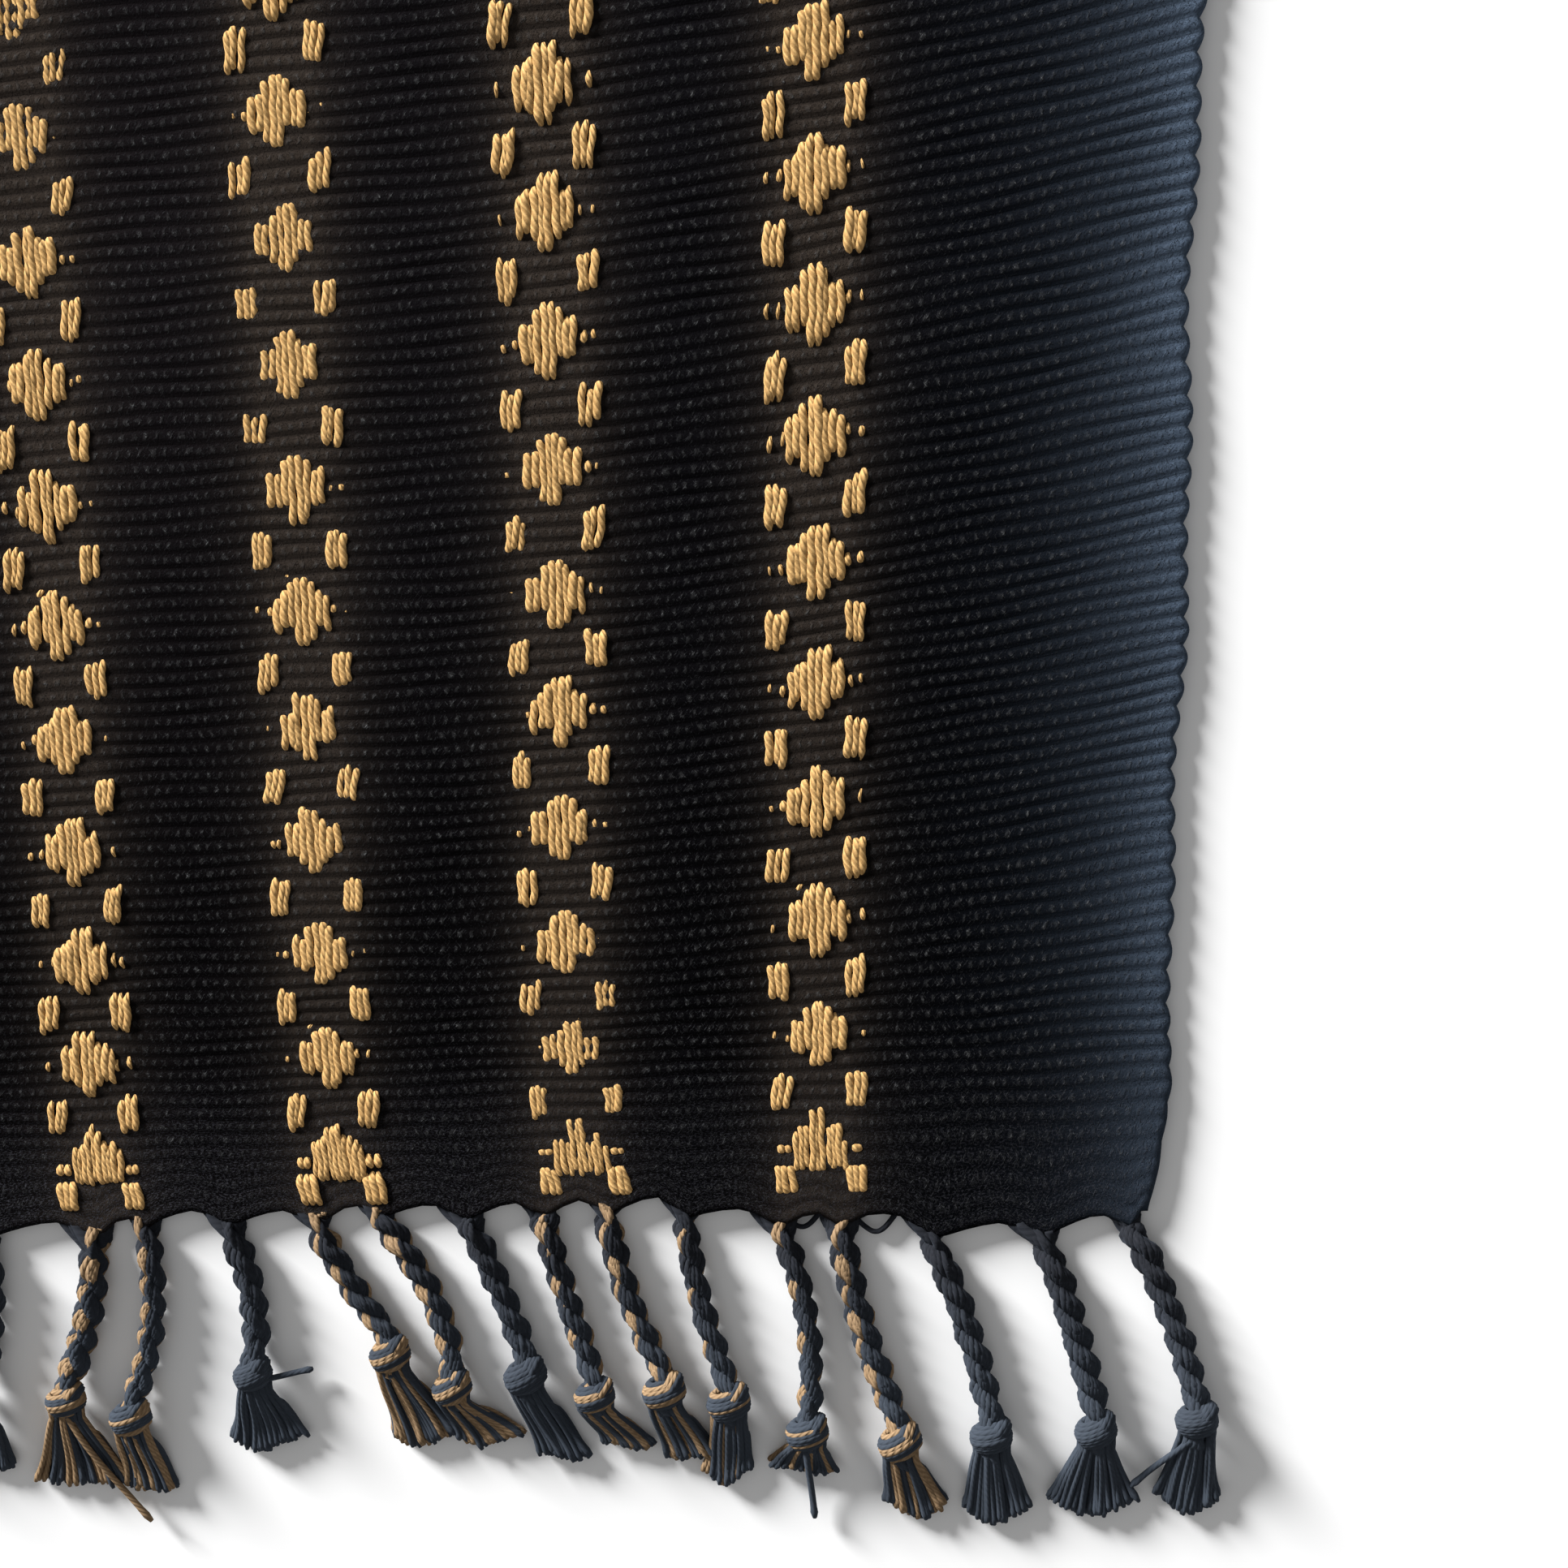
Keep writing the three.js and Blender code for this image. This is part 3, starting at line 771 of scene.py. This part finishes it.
class Nodes:
    """Adds shader nodes by kind and links them by socket."""

    def __init__(self, name):
        self.material = bpy.data.materials.new(name)
        self.material.use_nodes = True
        self.tree = self.material.node_tree
        self.shader = self.tree.nodes["Principled BSDF"]

    def add(self, kind, inputs=(), **settings):
        node = self.tree.nodes.new("ShaderNode" + kind)
        for key, value in settings.items():
            setattr(node, key, value)
        for socket, value in dict(inputs).items():
            self.feed(node, socket, value)
        return node

    def feed(self, node, socket, value):
        if isinstance(value, bpy.types.NodeSocket):
            self.tree.links.new(value, node.inputs[socket])
        else:
            node.inputs[socket].default_value = value

    def math(self, operation, *values):
        return self.add("Math", enumerate(values), operation=operation).outputs[0]

    def attribute(self, name):
        vector = self.add("Attribute", attribute_name=name).outputs["Vector"]
        return self.add("SeparateXYZ", {0: vector}).outputs, vector

    def noise(self, vector, scale, detail=3.0, roughness=0.6):
        node = self.add(
            "TexNoise",
            {"Vector": vector, "Scale": scale, "Detail": detail, "Roughness": roughness},
        )
        return node.outputs[0]

    def blend(self, factor, dark, light):
        node = self.add("Mix", {0: factor, 6: dark, 7: light}, data_type="RGBA")
        return node.outputs[2]

    def scaled(self, value, low, high, to_low=0.0, to_high=1.0):
        node = self.add(
            "MapRange", {0: value, 1: low, 2: high, 3: to_low, 4: to_high}
        )
        return node.outputs[0]

    def bump(self, height, strength, distance):
        node = self.add(
            "Bump", {"Height": height, "Strength": strength, "Distance": distance}
        )
        self.tree.links.new(node.outputs[0], self.shader.inputs["Normal"])

    def finish(self, roughness, specular, sheen=0.0, tint=(1, 1, 1, 1)):
        self.shader.inputs["Roughness"].default_value = roughness
        self.shader.inputs["Specular IOR Level"].default_value = specular
        self.shader.inputs["Sheen Weight"].default_value = sheen
        self.shader.inputs["Sheen Tint"].default_value = tint
        self.shader.inputs["Sheen Roughness"].default_value = 0.6
        return self.material


def strokes(n, vector, turn):
    """Noise drawn out into short hairs that lie at an angle to the weft."""
    turned = n.add("VectorRotate", {0: vector, "Angle": turn}, rotation_type="Z_AXIS")
    drawn = n.add("VectorMath", {0: turned.outputs[0], 1: (0.9, 3.0, 1)}, operation="MULTIPLY")
    return n.noise(drawn.outputs[0], 1.2, 2.0, 0.6)


def ribs_and_warps(n, u, v, vector, from_hem):
    """Height of the ribs, and the warps that ride high on them: their mask carries painted
    highlights and bumps.
    """
    rib = n.math("DIVIDE", n.math("ADD", v, HALF_LENGTH - HEM_EDGE), RIB_PITCH)
    row = n.math("FLOOR", rib)
    in_rib = n.math("FRACT", rib)
    crest = n.math("SINE", n.math("MULTIPLY", in_rib, math.pi))
    drift = n.math("MULTIPLY", n.noise(vector, 0.4), 1.4)
    ends = n.math("ADD", n.math("DIVIDE", u, WARP_PITCH), n.math("MULTIPLY", row, 0.5))
    ends = n.math("ADD", ends, drift)
    warp = n.math("COSINE", n.math("MULTIPLY", ends, 2 * math.pi))
    raised = n.math("MULTIPLY", n.scaled(warp, 0.2, 1.0), n.scaled(crest, 0.65, 1.0))
    raised = n.math("MULTIPLY", raised, n.scaled(from_hem, 3.0, 22.0, 0.3, 1.0))
    return crest, raised


def tan_underlay(n, from_middle, from_hem, tone):
    """How much the tan warps under the black of each band show through it."""
    from_band = n.math("PINGPONG", from_middle, BAND_PITCH / 2)
    under = n.math("DIVIDE", n.math("SUBTRACT", UNDERLAY_HALF, from_band), UNDERLAY_FADE)
    under = n.math("MINIMUM", n.math("EXPONENT", under), 1.0)
    outermost = BAND_COUNT * BAND_PITCH / 2
    under = n.math("MULTIPLY", under, n.math("LESS_THAN", from_middle, outermost))
    under = n.math("MULTIPLY", under, n.scaled(from_hem, 20.0, 150.0, 0.6, 1.0))
    # the underlay is dimmer in the rib valleys, as tone is: painted shade
    return n.math("MULTIPLY", under, n.scaled(tone, 0.0, 1.0, 0.55, 1.0))


def hem_hairs(n, vector, from_middle, from_hem):
    """Hairs along the weft, close to a hem."""
    along_weft = n.add("VectorMath", {0: vector, 1: (0.7, 1.8, 1)}, operation="MULTIPLY")
    hairs = n.scaled(n.noise(along_weft.outputs[0], 2.6), 0.5, 0.66)
    hairs = n.math("MULTIPLY", hairs, n.scaled(from_hem, 26.0, 3.0))
    return n.math("MULTIPLY", hairs, n.scaled(from_middle, 130.0, 20.0, 0.5, 1.0))


def selvedge_painted_sheen(n, from_middle, from_hem):
    """Painted sheen: the bluish light on the fluff along a selvedge."""
    edge = n.math("SUBTRACT", HALF_WIDTH, from_middle)
    painted_sheen = n.math("EXPONENT", n.math("DIVIDE", edge, -8.0))
    painted_sheen = n.math("MULTIPLY", painted_sheen, n.scaled(from_hem, 20.0, 175.0, 0.66, 1.2))
    return n.math("MULTIPLY", painted_sheen, n.scaled(from_hem, 0.0, 34.0, 0.5, 1.0))


def ground_material():
    """Black warp-faced cotton. Raised warps show as small painted highlights along each rib,
    over painted shade in the rib valleys; hairs lie over all of it, the tan warps under the
    black in each band warm it, and a bluish painted sheen lies along each selvedge."""
    n = Nodes("black_warp_cotton")
    (u, v, _), vector = n.attribute("weave")
    from_middle = n.math("ABSOLUTE", u)
    from_hem = n.math("SUBTRACT", HALF_LENGTH, n.math("ABSOLUTE", v))
    crest, raised = ribs_and_warps(n, u, v, vector, from_hem)
    fuzz = n.noise(vector, 2.6, 4.0, 0.75)
    patches = n.noise(vector, 0.5, 2.0, 0.6)
    lint = n.math("MAXIMUM", strokes(n, vector, 0.9), strokes(n, vector, -0.9))
    lint = n.scaled(lint, 0.58, 0.73)
    # painted highlights: small lights where the raised warps on each rib catch the light
    light = n.math("MULTIPLY", raised, n.scaled(patches, 0.36, 0.6, 0.25, 1.0))
    light = n.math("MULTIPLY", light, n.scaled(lint, 0.0, 0.6, 0.15, 1.0))
    # painted shade: tone follows crest, so the base is darker in the rib valleys, mixed with
    # random fuzz tone
    tone = n.math("MULTIPLY", crest, n.scaled(fuzz, 0.36, 0.62, 0.15, 1.2))
    base = n.blend(tone, (0.0014, 0.0015, 0.0022, 1), (0.0050, 0.0050, 0.0066, 1))
    warmth = n.scaled(from_middle, 130.0, 10.0, 0.0, 0.62)
    base = n.blend(warmth, base, (0.0098, 0.0076, 0.0082, 1))
    grown = n.scaled(from_hem, 50.0, 160.0, 0.3, 1.0)
    base = n.blend(grown, (0.0004, 0.0004, 0.0006, 1), base)
    # lint in the rib valleys is dimmed by crest: painted shade over real lint
    lying = n.math("MULTIPLY", lint, n.scaled(crest, 0.0, 1.0, 0.2, 0.7))
    lying = n.math("MULTIPLY", lying, n.scaled(from_hem, 60.0, 5.0, 1.0, 1.5))
    base = n.blend(lying, base, (0.040, 0.041, 0.044, 1))
    under = tan_underlay(n, from_middle, from_hem, tone)
    base = n.blend(under, base, (0.036, 0.028, 0.0225, 1))
    hairs = hem_hairs(n, vector, from_middle, from_hem)
    base = n.blend(hairs, base, (0.036, 0.036, 0.043, 1))
    # the painted highlight colour of the raised warps
    base = n.blend(light, base, (0.105, 0.107, 0.108, 1))
    # painted sheen: bluish light along each selvedge, where its fluff catches the light
    painted_sheen = selvedge_painted_sheen(n, from_middle, from_hem)
    base = n.blend(painted_sheen, base, (0.066, 0.090, 0.128, 1))
    n.feed(n.shader, "Base Color", base)
    height = n.math("ADD", n.math("MULTIPLY", raised, 0.6), n.math("ADD", fuzz, lint))
    n.bump(height, 0.9, 0.0003)
    return n.finish(1.0, 0.01)


def yarn_material(name, dark, light, strength, specular, sheen, far_dark=None, far_light=None):
    """Two-ply yarn: the plies show as slanting painted highlights along it, with painted shade
    between them, and as bumps. far_dark and far_light are its colours out at the end of the
    fringe, if they differ."""
    n = Nodes(name)
    (along, cosine, sine), _ = n.attribute("yarn")
    place = n.add("TexCoord").outputs["Object"]
    around = n.math("MULTIPLY", n.math("ARCTAN2", sine, cosine), PLY_TURNS)
    turned = n.math("ADD", n.math("MULTIPLY", along, 2 * math.pi / PLY_PITCH), around)
    # ply marks: painted highlight on each ply's crown and painted shade between the plies; also
    # bump height
    ply = n.scaled(n.math("COSINE", turned), -1.0, 0.6)
    fibre = n.noise(place, 1100.0, 3.0, 0.7)
    patch = n.noise(place, 420.0, 2.0, 0.5)
    tone = n.scaled(ply, 0.0, 1.0, 0.1, 1.0)
    tone = n.math("MULTIPLY", tone, n.scaled(fibre, 0.3, 0.7, 0.6, 1.1))
    tone = n.math("MULTIPLY", tone, n.scaled(patch, 0.3, 0.7, 0.55, 1.25))
    tint = far_light or light
    if far_light:
        y = n.add("SeparateXYZ", {0: place}).outputs[1]
        out = n.math("SUBTRACT", n.math("ABSOLUTE", y), HALF_LENGTH * MM)
        faded = n.scaled(out, 0.002, 0.03)
        dark = n.blend(faded, dark, far_dark)
        light = n.blend(faded, light, far_light)
    # dark and light span the painted shade and highlight of the plies, mixed with random fibre
    # and patch tone
    n.feed(n.shader, "Base Color", n.blend(tone, dark, light))
    height = n.math("ADD", ply, n.math("MULTIPLY", fibre, 0.5))
    n.bump(height, strength, 0.0002)
    return n.finish(0.9, specular, sheen, tint)


def floor_material():
    """A plain pale surface."""
    n = Nodes("pale_table")
    n.shader.inputs["Base Color"].default_value = (0.93, 0.93, 0.93, 1)
    return n.finish(1.0, 0.0)


def add_floor():
    """The table top, which is there only for the picture."""
    corners = np.array([[-1, -1, 0], [1, -1, 0], [1, 1, 0], [-1, 1, 0]]) * FLOOR_HALF
    floor = new_mesh("table_top", corners, [np.array([[0, 1, 2, 3]])], None, [floor_material()])


def add_light():
    """White surroundings and one wide, low light from the upper left."""
    world = bpy.data.worlds.new("studio")
    world.use_nodes = True
    world.node_tree.nodes["Background"].inputs["Color"].default_value = (1, 1, 1, 1)
    world.node_tree.nodes["Background"].inputs["Strength"].default_value = SKY_STRENGTH
    bpy.context.scene.world = world
    light = bpy.data.lights.new("window", "SUN")
    light.energy = SUN_STRENGTH
    light.angle = math.radians(SUN_ANGLE)
    lamp = bpy.data.objects.new("window", light)
    tilt = math.radians(90 - SUN_ELEVATION)
    lamp.rotation_euler = (tilt, 0, math.radians(SUN_BEARING))
    bpy.context.scene.collection.objects.link(lamp)


def add_camera():
    """The view of the lower right corner, from almost straight above."""
    data = bpy.data.cameras.new("camera")
    data.lens = CAMERA_LENS
    data.sensor_width = 36.0
    data.clip_start = 0.01
    camera = bpy.data.objects.new("camera", data)
    camera.location = CAMERA_PLACE
    camera.rotation_euler = [math.radians(a) for a in CAMERA_TURN]
    bpy.context.scene.collection.objects.link(camera)
    bpy.context.scene.camera = camera


def add_piece(thing, node):
    """Fixes a piece to the runner's one body, in place of its plain node."""
    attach(thing, "root")
    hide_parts(node)


add_camera()
add_light()
add_floor()
bpy.context.scene.view_settings.view_transform = "Standard"

cloth_black = ground_material()
pattern_tan = yarn_material(
    "tan_plied_cotton", (0.40, 0.228, 0.084, 1), (0.68, 0.425, 0.172, 1), 0.7, 0.04, 0.0
)
fringe_black = yarn_material(
    "black_fringe_cotton",
    (0.013, 0.014, 0.017, 1),
    (0.017, 0.018, 0.022, 1),
    0.25,
    0.02,
    0.7,
    (0.033, 0.040, 0.051, 1),
    (0.038, 0.046, 0.059, 1),
)
fringe_tan = yarn_material(
    "tan_fringe_cotton", (0.18, 0.118, 0.066, 1), (0.28, 0.188, 0.109, 1), 0.5, 0.04, 0.0
)

cloth = ground_cloth(cloth_black)
add_piece(cloth, "ground_cloth")

for number in range(1, BAND_COUNT + 1):
    band = pattern_band(number, pattern_tan)
    add_piece(band, f"pattern_band_{number}")
for end in ("near", "far"):
    for index in range(len(CORDS)):
        cord, node = fringe_cord(end, index, [fringe_black, fringe_tan])
        add_piece(cord, node)
